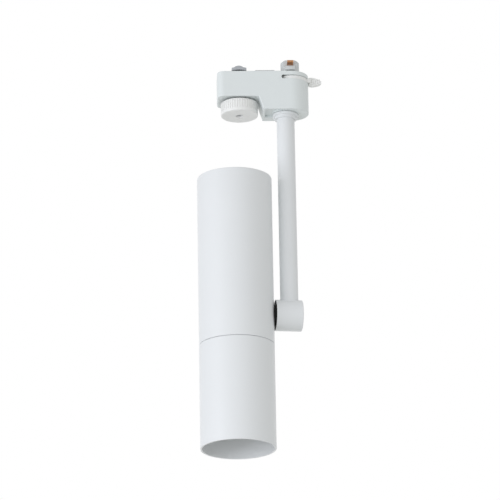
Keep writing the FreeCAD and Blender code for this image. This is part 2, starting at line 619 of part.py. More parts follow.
def make_knuckle_body():
    """Round knuckle across the stem's foot: a cup at each end, and a bearing wall between them."""
    body = rod_x(KNUCKLE_RADIUS, KNUCKLE_LEFT, KNUCKLE_RIGHT)
    body = body.makeFillet(0.6, edges_at(body, lambda box: box.XMin > KNUCKLE_RIGHT - 0.01))
    body = body.makeFillet(0.25, edges_at(body, lambda box: box.XMax < KNUCKLE_LEFT + 0.01))
    body = body.cut(rod_x(CUP_RADIUS, BEARING[1], KNUCKLE_RIGHT + 1))
    body = body.cut(rod_x(SPACER_RADIUS + 2 * RUNNING, KNUCKLE_LEFT - 1, BEARING[0]))
    body = body.cut(rod_x(THREAD_RADIUS + RUNNING, KNUCKLE_LEFT, 0))
    for side in (-1, 1):
        stop = block(BEARING[1] - 0.2, -5.6, -STOP_TAB / 2, STOP_TAB / 2, -CUP_RADIUS - 0.2, -8.7)
        stop.rotate(Vector(0, 0, 0), X_AXIS, side * TILT_STOP_ANGLE)
        stop.translate(Vector(0, 0, PIVOT_Z))
        body = body.fuse(stop)
    return body.cut(rod(THREAD_RADIUS, PIVOT_Z + 5, PIVOT_Z + 15)).removeSplitter()


def make_knuckle_cap():
    """Plug in the open right end of the knuckle."""
    face = KNUCKLE_RIGHT - 0.2
    cap = rod_x(CUP_RADIUS, face - 2.0, face)
    return cap.makeChamfer(0.3, edges_at(cap, lambda box: box.XMin > face - 0.1))


def make_stem_lead(side):
    """Wire down the stem and round the corner in the knuckle."""
    y = side * WIRE_OFFSET
    return lead([(WIRE_X, y, NIPPLE_TOP), (WIRE_X, y, PIVOT_Z), (AXLE_END + CLEARANCE / 2, y, PIVOT_Z)])


# ---------------------------------------------------------------- head: tilt joint
AXLE_FAR_END = BARREL_X + 20.5
CLAMP_FACE = BARREL_X + 25.3


def make_saddle_spacer():
    """Black nylon disc that turns in the knuckle's end, with a boss hollowed to sit on the barrel."""
    disc = rod_x(SPACER_RADIUS, SPACER_FACE, BEARING[0] - RUNNING)
    boss = rod_x(SPACER_BOSS_RADIUS, BARREL_X + 25.0, SPACER_FACE + 0.5)
    boss = boss.cut(rod(BARREL_RADIUS, PIVOT_Z - 20, PIVOT_Z + 20, BARREL_X))
    return disc.fuse(boss).cut(rod_x(THREAD_RADIUS, -20, 0)).removeSplitter()


def make_tilt_axle():
    """Hollow threaded bolt through the barrel's wall and the knuckle's, with the wires inside it."""
    return tube_x(THREAD_RADIUS, WIRE_BORE, AXLE_FAR_END, AXLE_END)


def make_tilt_washer():
    """Washer keyed to the axle, whose tab meets a stop in the knuckle at each end of the tilt."""
    far_side = TILT_WASHER_X + TILT_WASHER_THICKNESS
    washer = tube_x(WASHER_RADIUS, THREAD_RADIUS, TILT_WASHER_X, far_side)
    tab = block(TILT_WASHER_X, far_side, -STOP_TAB / 2, STOP_TAB / 2, PIVOT_Z - 9.6, PIVOT_Z - 7.5)
    return washer.fuse(tab).removeSplitter()


def make_tilt_nut():
    """Thin nut that sets the friction of the tilt."""
    nut = hexagon(14.5, 3.4, Vector(TILT_WASHER_X + TILT_WASHER_THICKNESS, 0, PIVOT_Z), X_AXIS)
    return nut.cut(rod_x(THREAD_RADIUS, -20, 0))


def make_clamp_plate():
    """Round plate inside the barrel, curved to its wall, that spreads the axle's load."""
    plate = rod_x(9.5, CLAMP_FACE, BARREL_X + BARREL_RADIUS)
    plate = plate.common(rod(BARREL_BORE, PIVOT_Z - 20, PIVOT_Z + 20, BARREL_X))
    return plate.cut(rod_x(THREAD_RADIUS, -40, 0))


def make_axle_nut():
    """Nut that clamps the plate, the wall and the spacer together."""
    nut = hexagon(15.0, 4.0, Vector(CLAMP_FACE - 4.0, 0, PIVOT_Z), X_AXIS)
    return nut.cut(rod_x(THREAD_RADIUS, -40, 0))


# ---------------------------------------------------------------- head: barrel
RING_TOP = -216.5
RING_BOTTOM = -243.0
RING_BORE = 26.6
RING_SLIDE = BARREL_BORE - 0.08
GRIP_Z = -239.3
GRIP_RADIUS = 27.6
GRIP_SECTION = 0.85
BRIDGE_THICKNESS = 2.0
BRIDGE_SCREW_Z = -234.6
CAP_TOP = BARREL_TOP - 1.0
CAP_THICKNESS = 2.0
CAP_RIM_BOTTOM = CAP_TOP - 8.0
VENTS = 12
VENT_FROM = 12.5            # a vent slot's ends, from the barrel's axis
VENT_TO = 21.5
VENT_HALF_WIDTH = 1.1
RIM_LENGTH = 2 * BARREL_BORE + 1    # longer than a bore's edge and shorter than the outer edge
BRIDGE_SCREW_SINK = 1.4
SOCKET_HEIGHT = 15.5
SOCKET_SCREW_OFFSET = 4.5
LEAD_OFFSET = 9.0           # where the wires enter the socket


def make_upper_barrel():
    """Plain round tube with one hole for the tilt axle."""
    barrel = tube(BARREL_RADIUS, BARREL_BORE, SEAM_Z, BARREL_TOP, BARREL_X)
    barrel = barrel.makeFillet(0.6, edges_at(barrel, lambda box: box.ZMin > BARREL_TOP - 0.01))
    foot_rim = edges_at(barrel, lambda box: box.ZMax < SEAM_Z + 0.01 and box.XLength > RIM_LENGTH)
    barrel = barrel.makeChamfer(0.25, foot_rim)
    return barrel.cut(rod_x(THREAD_RADIUS, BARREL_X + 20, 0))


def make_top_cap():
    """Pressed-in lid with a ring of vent slots and a down-turned rim."""
    lid = rod(BARREL_BORE, CAP_TOP - CAP_THICKNESS, CAP_TOP)
    lid = lid.makeChamfer(0.4, edges_at(lid, lambda box: box.ZMin > CAP_TOP - 0.01))
    lid = lid.fuse(tube(BARREL_BORE, BARREL_BORE - 1.4, CAP_RIM_BOTTOM, CAP_TOP - CAP_THICKNESS))
    for i in range(VENTS):
        slot = block(VENT_FROM, VENT_TO, -VENT_HALF_WIDTH, VENT_HALF_WIDTH, CAP_TOP - 4, CAP_TOP + 1)
        slot = slot.fuse([rod(VENT_HALF_WIDTH, CAP_TOP - 4, CAP_TOP + 1, x) for x in (VENT_FROM, VENT_TO)])
        slot.rotate(Vector(0, 0, 0), Z_AXIS, 360.0 / VENTS * (i + 0.5))
        lid = lid.cut(slot)
    lid.translate(Vector(BARREL_X, 0, 0))
    return lid.removeSplitter()


def make_coupling_ring():
    """Sleeve fixed in the upper barrel, that the front barrel pushes on to."""
    ring = revolved([(RING_BORE, RING_TOP), (BARREL_BORE, RING_TOP), (BARREL_BORE, SEAM_Z + 0.6),
                     (RING_SLIDE, SEAM_Z + 0.6), (RING_SLIDE, RING_BOTTOM + 1.0),
                     (RING_SLIDE - 1.0, RING_BOTTOM), (RING_BORE, RING_BOTTOM)])
    ring = ring.cut(Part.makeTorus(GRIP_RADIUS, GRIP_SECTION, Vector(0, 0, GRIP_Z), Z_AXIS))
    for side in (-1, 1):
        hole = Part.makeCylinder(1.6, 10, Vector(0, side * 20, BRIDGE_SCREW_Z), Vector(0, side, 0))
        sink_start = Vector(0, side * (RING_SLIDE - BRIDGE_SCREW_SINK), BRIDGE_SCREW_Z)
        sink = Part.makeCone(1.5, 2.9, BRIDGE_SCREW_SINK, sink_start, Vector(0, side, 0))
        ring = ring.cut(hole.fuse(sink))
    ring.translate(Vector(BARREL_X, 0, 0))
    return ring


def make_grip_ring():
    """Rubber ring that holds the front barrel on by friction."""
    return Part.makeTorus(GRIP_RADIUS, GRIP_SECTION, Vector(BARREL_X, 0, GRIP_Z), Z_AXIS)


def make_socket_bridge():
    """Steel strip across the barrel, its ends turned down and screwed to the coupling ring."""
    strip = block(-7.0, 7.0, -27, 27, SOCKET_TOP, SOCKET_TOP + BRIDGE_THICKNESS)
    for side in (-1, 1):
        near, far = sorted((side * (RING_BORE - BRIDGE_THICKNESS), side * 28))
        strip = strip.fuse(block(-7.0, 7.0, near, far, -238.0, SOCKET_TOP))
    strip = strip.common(rod(RING_BORE, -250, -200))
    for side in (-1, 1):
        tapping = Part.makeCylinder(1.25, 12, Vector(0, side * 18, BRIDGE_SCREW_Z), Vector(0, side, 0))
        strip = strip.cut(tapping)
        strip = strip.cut(rod(1.3, -240, -200, 0, side * LEAD_OFFSET))
        strip = strip.cut(rod(1.6, -240, -200, side * SOCKET_SCREW_OFFSET, 0))
    strip.translate(Vector(BARREL_X, 0, 0))
    return strip.removeSplitter()


def make_bridge_screws():
    """Two countersunk screws through the coupling ring into the bridge's tabs."""
    screw = pan_screw(2.6, 1.2, 1.2, 4.0, countersunk=True)
    seat = RING_SLIDE - BRIDGE_SCREW_SINK
    return [placed(screw, Vector(BARREL_X, side * seat, BRIDGE_SCREW_Z), Vector(0, side, 0))
            for side in (-1, 1)]


def make_lamp_socket():
    """Ceramic two-pin socket with a stepped top."""
    bottom = SOCKET_TOP - SOCKET_HEIGHT
    body = block(-8.5, 8.5, -13.0, 13.0, bottom, SOCKET_TOP)
    body = body.makeFillet(3.0, edges_at(body, lambda box: box.ZLength > 10))
    body = body.makeChamfer(0.6, edges_at(body, lambda box: box.ZMax < bottom + 0.1))
    for side in (-1, 1):
        body = body.cut(rod(2.8, bottom - 1, SOCKET_TOP - 6.5, 0, side * PIN_OFFSET))
        body = body.cut(rod(1.2, SOCKET_TOP - 7.0, SOCKET_TOP + 1, side * SOCKET_SCREW_OFFSET, 0))
    body.translate(Vector(BARREL_X, 0, 0))
    return body.removeSplitter()


def make_socket_screws():
    """Two screws through the bridge into the socket."""
    screw = pan_screw(2.4, 1.6, 1.15, 6.5)
    seat = SOCKET_TOP + BRIDGE_THICKNESS
    return [placed(screw, Vector(BARREL_X + side * SOCKET_SCREW_OFFSET, 0, seat)) for side in (-1, 1)]


def make_head_lead(side):
    """Wire through the tilt axle, across the barrel and down to the socket."""
    y = side * WIRE_OFFSET
    return lead([(AXLE_END - CLEARANCE / 2, y, PIVOT_Z), (AXLE_FAR_END - 3.0, y, PIVOT_Z),
                 (BARREL_X + 5.0, side * 6.0, PIVOT_Z - 5.0),
                 (BARREL_X, side * LEAD_OFFSET, PIVOT_Z - 13.0),
                 (BARREL_X, side * LEAD_OFFSET, SOCKET_TOP)])


# ---------------------------------------------------------------- front barrel and lamp
def make_front_barrel():
    """Thin round sleeve that hides the lamp deep inside its mouth."""
    top = SEAM_Z - SEAM_GAP
    barrel = tube(BARREL_RADIUS, BARREL_BORE, BARREL_BOTTOM, top, BARREL_X)
    mouth = edges_at(barrel, lambda box: box.ZMax < BARREL_BOTTOM + 0.01 and box.XLength > 2)
    barrel = barrel.makeFillet(0.25, mouth)
    seam_rim = edges_at(barrel, lambda box: box.ZMin > top - 0.01 and box.XLength > RIM_LENGTH)
    return barrel.makeChamfer(0.25, seam_rim)


def make_lamp_shell():
    """Body of the reflector lamp: a neck, a flared heat sink and a front rim."""
    shell = revolved([(0, LAMP_TOP), (12.3, LAMP_TOP), (12.9, LAMP_TOP - 0.6), (12.9, LAMP_TOP - 13.0),
                      (15.5, LAMP_TOP - 16.5), (LAMP_RADIUS - 0.9, -281.0), (LAMP_RADIUS, -283.0),
                      (LAMP_RADIUS, LAMP_FRONT + 0.5), (LAMP_RADIUS - 0.5, LAMP_FRONT), (23.3, LAMP_FRONT),
                      (23.3, -287.5), (22.0, -287.5), (22.0, -283.0), (13.6, LAMP_TOP - 18.5),
                      (11.2, LAMP_TOP - 15.5), (11.2, LAMP_TOP - 2.0), (0, LAMP_TOP - 2.0)])
    for side in (-1, 1):
        shell = shell.cut(rod(1.25, -250, -240, 0, side * PIN_OFFSET))
    for i in range(20):
        groove = block(0, 30, -0.9, 0.9, -279.5, LAMP_TOP - 17.5)
        groove = groove.cut(rod(14.6, -290, -250))
        taper = Part.makeCone(22.9, 13.9, 22.0, Vector(0, 0, -281.0), Z_AXIS)
        groove = groove.cut(taper)
        groove.rotate(Vector(0, 0, 0), Z_AXIS, 18.0 * i)
        shell = shell.cut(groove)
    shell.translate(Vector(BARREL_X, 0, 0))
    return shell


def make_lamp_lens():
    """Front lens of the lamp, held in the shell's rim."""
    lens = rod(23.3, -290.4, -287.5, BARREL_X)
    return lens.makeChamfer(0.3, edges_at(lens, lambda box: box.ZMax < -290.3))


def make_lamp_board():
    """Aluminium board behind the lens with its light chips."""
    board = Part.makeCone(19.25, 18.64, 1.6, Vector(0, 0, -276.0), Z_AXIS)
    board = board.fuse(block(-7.0, 7.0, -7.0, 7.0, -277.0, -275.5))
    board.translate(Vector(BARREL_X, 0, 0))
    return board.removeSplitter()


def make_lamp_pins():
    """Two headed contact pins."""
    pins = []
    for side in (-1, 1):
        pin = rod(1.25, LAMP_TOP - 4.0, LAMP_TOP + 4.2, BARREL_X, side * PIN_OFFSET)
        head = rod(2.4, LAMP_TOP + 4.2, LAMP_TOP + 6.6, BARREL_X, side * PIN_OFFSET)
        pins.append(pin.fuse(head).removeSplitter())
    return pins


# ---------------------------------------------------------------- the whole part
IN_ADAPTER = {
    "adapter_housing": make_adapter_housing,
    "adapter_cover": make_adapter_cover,
    "cover_screws": make_cover_screws,
    "pan_bush": make_pan_bush,
    "adapter_live_wire": lambda: make_adapter_lead(1),
    "adapter_neutral_wire": lambda: make_adapter_lead(-1),
    "contact_turret": make_contact_turret,
    "turn_lever": make_turn_lever,
    "lever_screws": make_lever_screws,
    "live_contact": lambda: make_contact(1),
    "neutral_contact": lambda: make_contact(-1),
    "turret_live_wire": lambda: make_turret_lead(1),
    "turret_neutral_wire": lambda: make_turret_lead(-1),
    "lock_knob": make_lock_knob,
    "lock_shaft": make_lock_shaft,
    "lock_plate": make_lock_plate,
    "lock_plate_nut": make_lock_plate_nut,
    "knob_screw": make_knob_screw,
    "lock_spring": make_lock_spring,
    "lock_clip": make_lock_clip,
}

ON_STEM = {
    "stem_nipple": make_stem_nipple,
    "pan_washer": make_pan_washer,
    "pan_stop_washer": make_pan_stop_washer,
    "pan_nut": make_pan_nut,
    "stem_collar": make_stem_collar,
    "stem_tube": make_stem_tube,
    "tube_inserts": make_tube_inserts,
    "knuckle_nipple": make_knuckle_nipple,
    "knuckle_body": make_knuckle_body,
    "knuckle_cap": make_knuckle_cap,
    "stem_live_wire": lambda: make_stem_lead(1),
    "stem_neutral_wire": lambda: make_stem_lead(-1),
    "saddle_spacer": make_saddle_spacer,
    "tilt_axle": make_tilt_axle,
    "tilt_washer": make_tilt_washer,
    "tilt_nut": make_tilt_nut,
    "clamp_plate": make_clamp_plate,
    "axle_nut": make_axle_nut,
    "upper_barrel": make_upper_barrel,
    "top_cap": make_top_cap,
    "coupling_ring": make_coupling_ring,
    "grip_ring": make_grip_ring,
    "socket_bridge": make_socket_bridge,
    "bridge_screws": make_bridge_screws,
    "lamp_socket": make_lamp_socket,
    "socket_screws": make_socket_screws,
    "head_live_wire": lambda: make_head_lead(1),
    "head_neutral_wire": lambda: make_head_lead(-1),
    "front_barrel": make_front_barrel,
    "lamp_shell": make_lamp_shell,
    "lamp_lens": make_lamp_lens,
    "lamp_board": make_lamp_board,
    "lamp_pins": make_lamp_pins,
}


def export(name, made, turn):
    """Writes one node, turned with the stem about the pan axis."""
    solids = made if isinstance(made, list) else [made]
    shape = Part.makeCompound(solids) if len(solids) > 1 else solids[0]
    shape = shape.copy()
    shape.rotate(Vector(0, 0, 0), Z_AXIS, turn)
    good = shape.isValid() and all(solid.Volume > 0 for solid in shape.Solids)
    print("%-22s %d solid(s) %9.1f mm3 %s" % (name, len(shape.Solids), shape.Volume, "" if good else "BAD"))
    shape.exportStep("parts/%s.step" % name)


os.makedirs("parts", exist_ok=True)
for node, maker in IN_ADAPTER.items():
    export(node, maker(), 0.0)
for node, maker in ON_STEM.items():
    export(node, maker(), REST_PAN)
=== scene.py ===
"""Looks of a white track spotlight: a rail adapter, a tube stem with a knuckle, and a two-part barrel."""

import json
import math

import bpy
from mathutils import Matrix, Vector


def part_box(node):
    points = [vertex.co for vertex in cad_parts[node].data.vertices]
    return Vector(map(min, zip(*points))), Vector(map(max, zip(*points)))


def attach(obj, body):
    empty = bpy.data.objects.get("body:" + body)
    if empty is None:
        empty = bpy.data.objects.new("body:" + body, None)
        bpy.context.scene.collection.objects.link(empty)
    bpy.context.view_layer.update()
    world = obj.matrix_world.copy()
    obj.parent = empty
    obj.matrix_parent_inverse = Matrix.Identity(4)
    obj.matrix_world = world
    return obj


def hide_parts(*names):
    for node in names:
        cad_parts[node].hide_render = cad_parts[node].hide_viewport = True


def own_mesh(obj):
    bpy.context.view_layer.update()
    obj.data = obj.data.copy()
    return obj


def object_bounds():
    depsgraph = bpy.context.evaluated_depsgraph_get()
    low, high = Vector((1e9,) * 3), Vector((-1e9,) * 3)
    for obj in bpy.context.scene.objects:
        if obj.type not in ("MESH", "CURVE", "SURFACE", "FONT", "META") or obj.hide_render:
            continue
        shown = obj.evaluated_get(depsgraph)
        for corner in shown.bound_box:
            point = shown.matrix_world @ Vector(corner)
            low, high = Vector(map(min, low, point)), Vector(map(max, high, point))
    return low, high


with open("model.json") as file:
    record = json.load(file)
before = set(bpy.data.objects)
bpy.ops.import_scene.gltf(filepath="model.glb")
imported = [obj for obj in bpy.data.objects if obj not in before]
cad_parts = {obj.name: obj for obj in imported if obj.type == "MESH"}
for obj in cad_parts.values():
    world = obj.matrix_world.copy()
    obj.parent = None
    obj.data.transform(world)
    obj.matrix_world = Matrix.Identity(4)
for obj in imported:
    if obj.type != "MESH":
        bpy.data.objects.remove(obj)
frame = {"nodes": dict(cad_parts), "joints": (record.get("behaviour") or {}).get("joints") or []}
nodes = frame["nodes"]
joints = {joint["name"]: joint for joint in frame["joints"]}
cad_box = [list(corner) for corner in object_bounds()]
MM = 0.001


# ---------------------------------------------------------------- room, light and camera
# A photographer's white room: a pale floor far below, a bright backdrop, and soft light that is
# stronger on the left than on the right. The spotlight hangs in it by its adapter, seen from below.
def linear(hex_colour):
    """An sRGB colour such as "#ffffff" as the linear RGBA values that shaders take."""
    channels = [int(hex_colour[i:i + 2], 16) / 255 for i in (1, 3, 5)]
    return [c / 12.92 if c <= 0.04045 else ((c + 0.055) / 1.055) ** 2.4 for c in channels] + [1.0]


def add(tree, kind, inputs=None, **settings):
    """Adds one node. An input is a value, a socket or a list of sockets; settings are the node's own."""
    node = tree.nodes.new(kind)
    for name, value in settings.items():
        setattr(node, name, value)
    for socket, value in (inputs or {}).items():
        feeds = value if isinstance(value, list) else [value]
        if isinstance(feeds[0], bpy.types.NodeSocket):
            for feed in feeds:
                tree.links.new(feed, node.inputs[socket])
        else:
            node.inputs[socket].default_value = value
    return node


def add_piece(name, mesh):
    """Puts a finished mesh in the scene as an object at the origin."""
    piece = bpy.data.objects.new(name, mesh)
    bpy.context.scene.collection.objects.link(piece)
    return piece


FLOOR_Z = -3.6
FLOOR_HALF = 4.5
floor_corners = [(x * FLOOR_HALF, y * FLOOR_HALF, FLOOR_Z) for x, y in ((-1, -1), (1, -1), (1, 1), (-1, 1))]
floor_mesh = bpy.data.meshes.new("floor")
floor_mesh.from_pydata(floor_corners, [], [(0, 1, 2, 3)])
floor = add_piece("floor", floor_mesh)
floor_paint = bpy.data.materials.new("floor_white_paint")
floor_paint.use_nodes = True
floor_shader = floor_paint.node_tree.nodes["Principled BSDF"]
floor_shader.inputs["Base Color"].default_value = linear("#cfcfcc")
floor_shader.inputs["Roughness"].default_value = 0.8
floor_mesh.materials.append(floor_paint)

WALL_LEFT = 0.68            # brightness of the room's left and right walls, with a backdrop of 1
WALL_RIGHT = 0.72
world = bpy.data.worlds.new("studio")
bpy.context.scene.world = world
world.use_nodes = True
room = world.node_tree
direction = add(room, "ShaderNodeTexCoord").outputs["Generated"]
split = add(room, "ShaderNodeSeparateXYZ", {"Vector": direction})
across = add(room, "ShaderNodeMapRange", {"Value": split.outputs["X"], "From Min": -0.9, "From Max": 0.9,
                                          "To Min": WALL_LEFT, "To Max": WALL_RIGHT},
             interpolation_type="SMOOTHSTEP")
behind = add(room, "ShaderNodeMapRange", {"Value": split.outputs["Y"], "From Min": 0.55, "From Max": 0.9},
             interpolation_type="SMOOTHSTEP")
level = add(room, "ShaderNodeMix", {"Factor": behind.outputs["Result"], "A": across.outputs["Result"],
                                    "B": 1.0}, data_type="FLOAT")
background = room.nodes["Background"]
background.inputs["Color"].default_value = linear("#ffffff")
room.links.new(level.outputs["Result"], background.inputs["Strength"])


def add_softbox(name, place, size, power, colour):
    """A square soft box that points at the middle of the spotlight."""
    data = bpy.data.lights.new(name, "AREA")
    data.shape = "SQUARE"
    data.size = size
    data.energy = power
    data.color = linear(colour)[:3]
    box = bpy.data.objects.new(name, data)
    box.location = place
    box.rotation_mode = "QUATERNION"
    middle = (Vector(cad_box[0]) + Vector(cad_box[1])) / 2
    box.rotation_quaternion = (middle - Vector(place)).to_track_quat("-Z", "Y")
    bpy.context.scene.collection.objects.link(box)


# a cool key from the left, a fill from under the camera's left, and a weak lift for the undersides
add_softbox("key_softbox", (-1.7, -1.0, -0.4), 1.0, 11.4, "#f3f5ff")
add_softbox("low_softbox", (-1.0, -1.6, -0.7), 0.8, 5.6, "#f6f7ff")
add_softbox("floor_softbox", (-0.1, -0.5, -1.5), 0.5, 1.4, "#ffffff")

# A long lens, about 3 m away and almost 19 degrees below the object, leaning by 1 degree.
CAMERA_LENS = 271.2         # millimetres, on a sensor 36 mm wide
CAMERA_DISTANCE = 3.0631
CAMERA_BELOW = math.radians(18.913)
CAMERA_ROUND = math.radians(1.904)      # towards the knob
CAMERA_LEAN = math.radians(0.985)
AIM_RIGHT = -0.02819        # how far right of the origin the lens points
AIM_UP = -0.14056           # and how far above it
forward = Vector((math.sin(CAMERA_ROUND) * math.cos(CAMERA_BELOW),
                  math.cos(CAMERA_ROUND) * math.cos(CAMERA_BELOW), math.sin(CAMERA_BELOW)))
level_right = Vector((math.cos(CAMERA_ROUND), -math.sin(CAMERA_ROUND), 0))
level_up = level_right.cross(forward)
camera_right = math.cos(CAMERA_LEAN) * level_right - math.sin(CAMERA_LEAN) * level_up
camera_up = math.sin(CAMERA_LEAN) * level_right + math.cos(CAMERA_LEAN) * level_up
camera_data = bpy.data.cameras.new("camera")
camera_data.sensor_width = 36.0
camera_data.lens = CAMERA_LENS
camera_data.clip_end = 100.0
camera = bpy.data.objects.new("camera", camera_data)
camera_place = AIM_RIGHT * camera_right + AIM_UP * camera_up - CAMERA_DISTANCE * forward
camera_turn = Matrix((camera_right, camera_up, -forward)).transposed().to_4x4()
camera.matrix_world = Matrix.Translation(camera_place) @ camera_turn
bpy.context.scene.collection.objects.link(camera)
bpy.context.scene.camera = camera
bpy.context.scene.view_settings.view_transform = "Standard"


# ---------------------------------------------------------------- adapter housing
# The shell that hangs under the rail, injection moulded in opaque white polycarbonate. Its mould was
# spark eroded, which leaves a fine even grain, so the skin is matt with a soft sheen at low angles.
def new_material(name):
    """A new material: itself, its node tree, its Principled shader and its object coordinates."""
    material = bpy.data.materials.new(name)
    material.use_nodes = True
    tree = material.node_tree
    place = add(tree, "ShaderNodeTexCoord").outputs["Object"]
    return material, tree, tree.nodes["Principled BSDF"], place


def patches(tree, place, size_mm, detail=3.0):
    """Soft noise in patches about size_mm across, as a socket from 0 to 1."""
    return add(tree, "ShaderNodeTexNoise", {"Vector": place, "Scale": 1 / (size_mm * MM),
                                            "Detail": detail}).outputs["Fac"]


def tint(tree, shader, factor, first, second):
    """Mixes two sRGB colours by factor into the shader's base colour."""
    mixed = add(tree, "ShaderNodeMix", {"Factor": factor}, data_type="RGBA", clamp_factor=True)
    mixed.inputs["A"].default_value = linear(first)
    mixed.inputs["B"].default_value = linear(second)
    tree.links.new(mixed.outputs["Result"], shader.inputs["Base Color"])
    return mixed


def gloss(tree, shader, factor, smooth, rough):
    """Lets the roughness run from smooth to rough with factor."""
    ranged = add(tree, "ShaderNodeMapRange", {"Value": factor, "From Min": 0.3, "From Max": 0.7,
                                              "To Min": smooth, "To Max": rough})
    tree.links.new(ranged.outputs["Result"], shader.inputs["Roughness"])


def relief(tree, shader, layers):
    """Stacks bumps on the shader. Each layer is a height socket and its depth in mm."""
    normal = None
    for height, depth_mm in layers:
        bump = add(tree, "ShaderNodeBump", {"Height": height, "Distance": depth_mm * MM})
        if normal:
            tree.links.new(normal, bump.inputs["Normal"])
        normal = bump.outputs["Normal"]
    tree.links.new(normal, shader.inputs["Normal"])


def moulded_plastic(name, light, dark, roughness, ior):
    """An opaque plastic from a spark-eroded mould, with faint flow marks."""
    material, tree, shader, place = new_material(name)
    shader.inputs["IOR"].default_value = ior
    tint(tree, shader, patches(tree, place, 16.0), dark, light)
    gloss(tree, shader, patches(tree, place, 3.0), roughness - 0.04, roughness + 0.06)
    # the real grain is about 0.1 mm; it is drawn at 0.5 mm so that it shows
    relief(tree, shader, [(patches(tree, place, 9.0, 1.0), 0.04), (patches(tree, place, 0.5), 0.014)])
    return material


def dress(material, *names):
    """Gives CAD nodes this material in place of the plain one that they came with."""
    for name in names:
        slots = nodes[name].data.materials
        slots.clear()
        slots.append(material)


white_polycarbonate = moulded_plastic("white_polycarbonate", "#e1e7e6", "#dde3e3", 0.44, 1.585)
dress(white_polycarbonate, "adapter_housing")

# ---------------------------------------------------------------- deck and its screws
# A flat cover closes the housing from above. It is glass-filled polyamide, a little greyer than the
# housing, and four bright zinc-plated screws hold it down.
grey_polyamide = moulded_plastic("grey_polyamide", "#d3d6d6", "#c9cdcd", 0.52, 1.53)
dress(grey_polyamide, "adapter_cover")


def plated_steel(name, bright, dull, roughness, brush_mm=0.35):
    """Zinc-plated steel: a bright skin with cloudy patches and the fine marks of tumbling."""
    material, tree, shader, place = new_material(name)
    shader.inputs["Metallic"].default_value = 1.0
    clouds = patches(tree, place, 2.5)
    tint(tree, shader, clouds, dull, bright)
    gloss(tree, shader, clouds, roughness - 0.06, roughness + 0.1)
    relief(tree, shader, [(patches(tree, place, brush_mm), 0.01)])
    return material


zinc_plate = plated_steel("zinc_plated_steel", "#cdd1d6", "#b4b8bd", 0.28)
dress(zinc_plate, "cover_screws")

# ---------------------------------------------------------------- turn lever and contact turret
# The lever and the lock knob are moulded in a brighter white polycarbonate than the housing. The lever
# is screwed to a grey rotor, whose hooks lock under the rail. Two springs stand out of it to meet the
# rail's conductors: rolled phosphor bronze, a warm orange metal with fine lines along the strip.
bright_polycarbonate = moulded_plastic("bright_polycarbonate", "#f0f1ef", "#ecedeb", 0.4, 1.585)
dress(bright_polycarbonate, "turn_lever")
dress(grey_polyamide, "contact_turret")
dress(zinc_plate, "lever_screws")

phosphor_bronze, tree, shader, place = new_material("phosphor_bronze_strip")
shader.inputs["Metallic"].default_value = 1.0
rolled = add(tree, "ShaderNodeMapping", {"Vector": place, "Scale": (1.0, 0.08, 1.0)}).outputs["Vector"]
tint(tree, shader, patches(tree, rolled, 1.2), "#c98d62", "#dba77c")
gloss(tree, shader, patches(tree, rolled, 0.6), 0.2, 0.34)
relief(tree, shader, [(patches(tree, rolled, 0.25), 0.006)])
dress(phosphor_bronze, "live_contact", "neutral_contact")

# ---------------------------------------------------------------- rail lock
# A ribbed knob turns a steel shaft with a plate on top, which grips the rail's lips. A spring under the
# deck, wound from drawn steel a shade darker than the plated parts, pulls the shaft down, so that the
# knob is pressed up before it turns.
dress(bright_polycarbonate, "lock_knob")
dress(zinc_plate, "lock_shaft", "lock_plate", "lock_plate_nut", "knob_screw")
spring_steel = plated_steel("drawn_spring_steel", "#a9adb3", "#8f9399", 0.3, 0.2)
dress(spring_steel, "lock_clip")


def geometry_tree(name, **inputs):
    """A Geometry Nodes tree with a geometry output and these named inputs, each a number."""
    tree = bpy.data.node_groups.new(name, "GeometryNodeTree")
    tree.interface.new_socket("Geometry", in_out="OUTPUT", socket_type="NodeSocketGeometry")
    for label, value in inputs.items():
        kind = "NodeSocketInt" if isinstance(value, int) else "NodeSocketFloat"
        tree.interface.new_socket(label, in_out="INPUT", socket_type=kind).default_value = value
    return tree, add(tree, "NodeGroupInput").outputs


def finish_tree(tree, geometry, material, smooth=True):
    """Ends a tree: real geometry, its shading and a material."""
    real = add(tree, "GeometryNodeRealizeInstances", {"Geometry": geometry})
    shaded = add(tree, "GeometryNodeSetShadeSmooth", {"Geometry": real.outputs["Geometry"],
                                                      "Shade Smooth": smooth})
    painted = add(tree, "GeometryNodeSetMaterial", {"Geometry": shaded.outputs["Geometry"],
                                                    "Material": material})
    add(tree, "NodeGroupOutput", {"Geometry": painted.outputs["Geometry"]})


def grow(name, tree, place, **values):
    """Runs a tree and returns its result as a plain mesh object, moved to place by its mesh."""
    host = add_piece(name + "_host", bpy.data.meshes.new(name + "_host"))
    modifier = host.modifiers.new(name, "NODES")
    modifier.node_group = tree
    for item in tree.interface.items_tree:
        if item.in_out == "INPUT" and item.name in values:
            modifier[item.identifier] = values[item.name]
    bpy.context.view_layer.update()
    evaluated = host.evaluated_get(bpy.context.evaluated_depsgraph_get())
    mesh = bpy.data.meshes.new_from_object(evaluated)
    host.modifiers.remove(modifier)
    bpy.data.objects.remove(host)
    mesh.transform(place)
    mesh.name = name
    return add_piece(name, mesh)


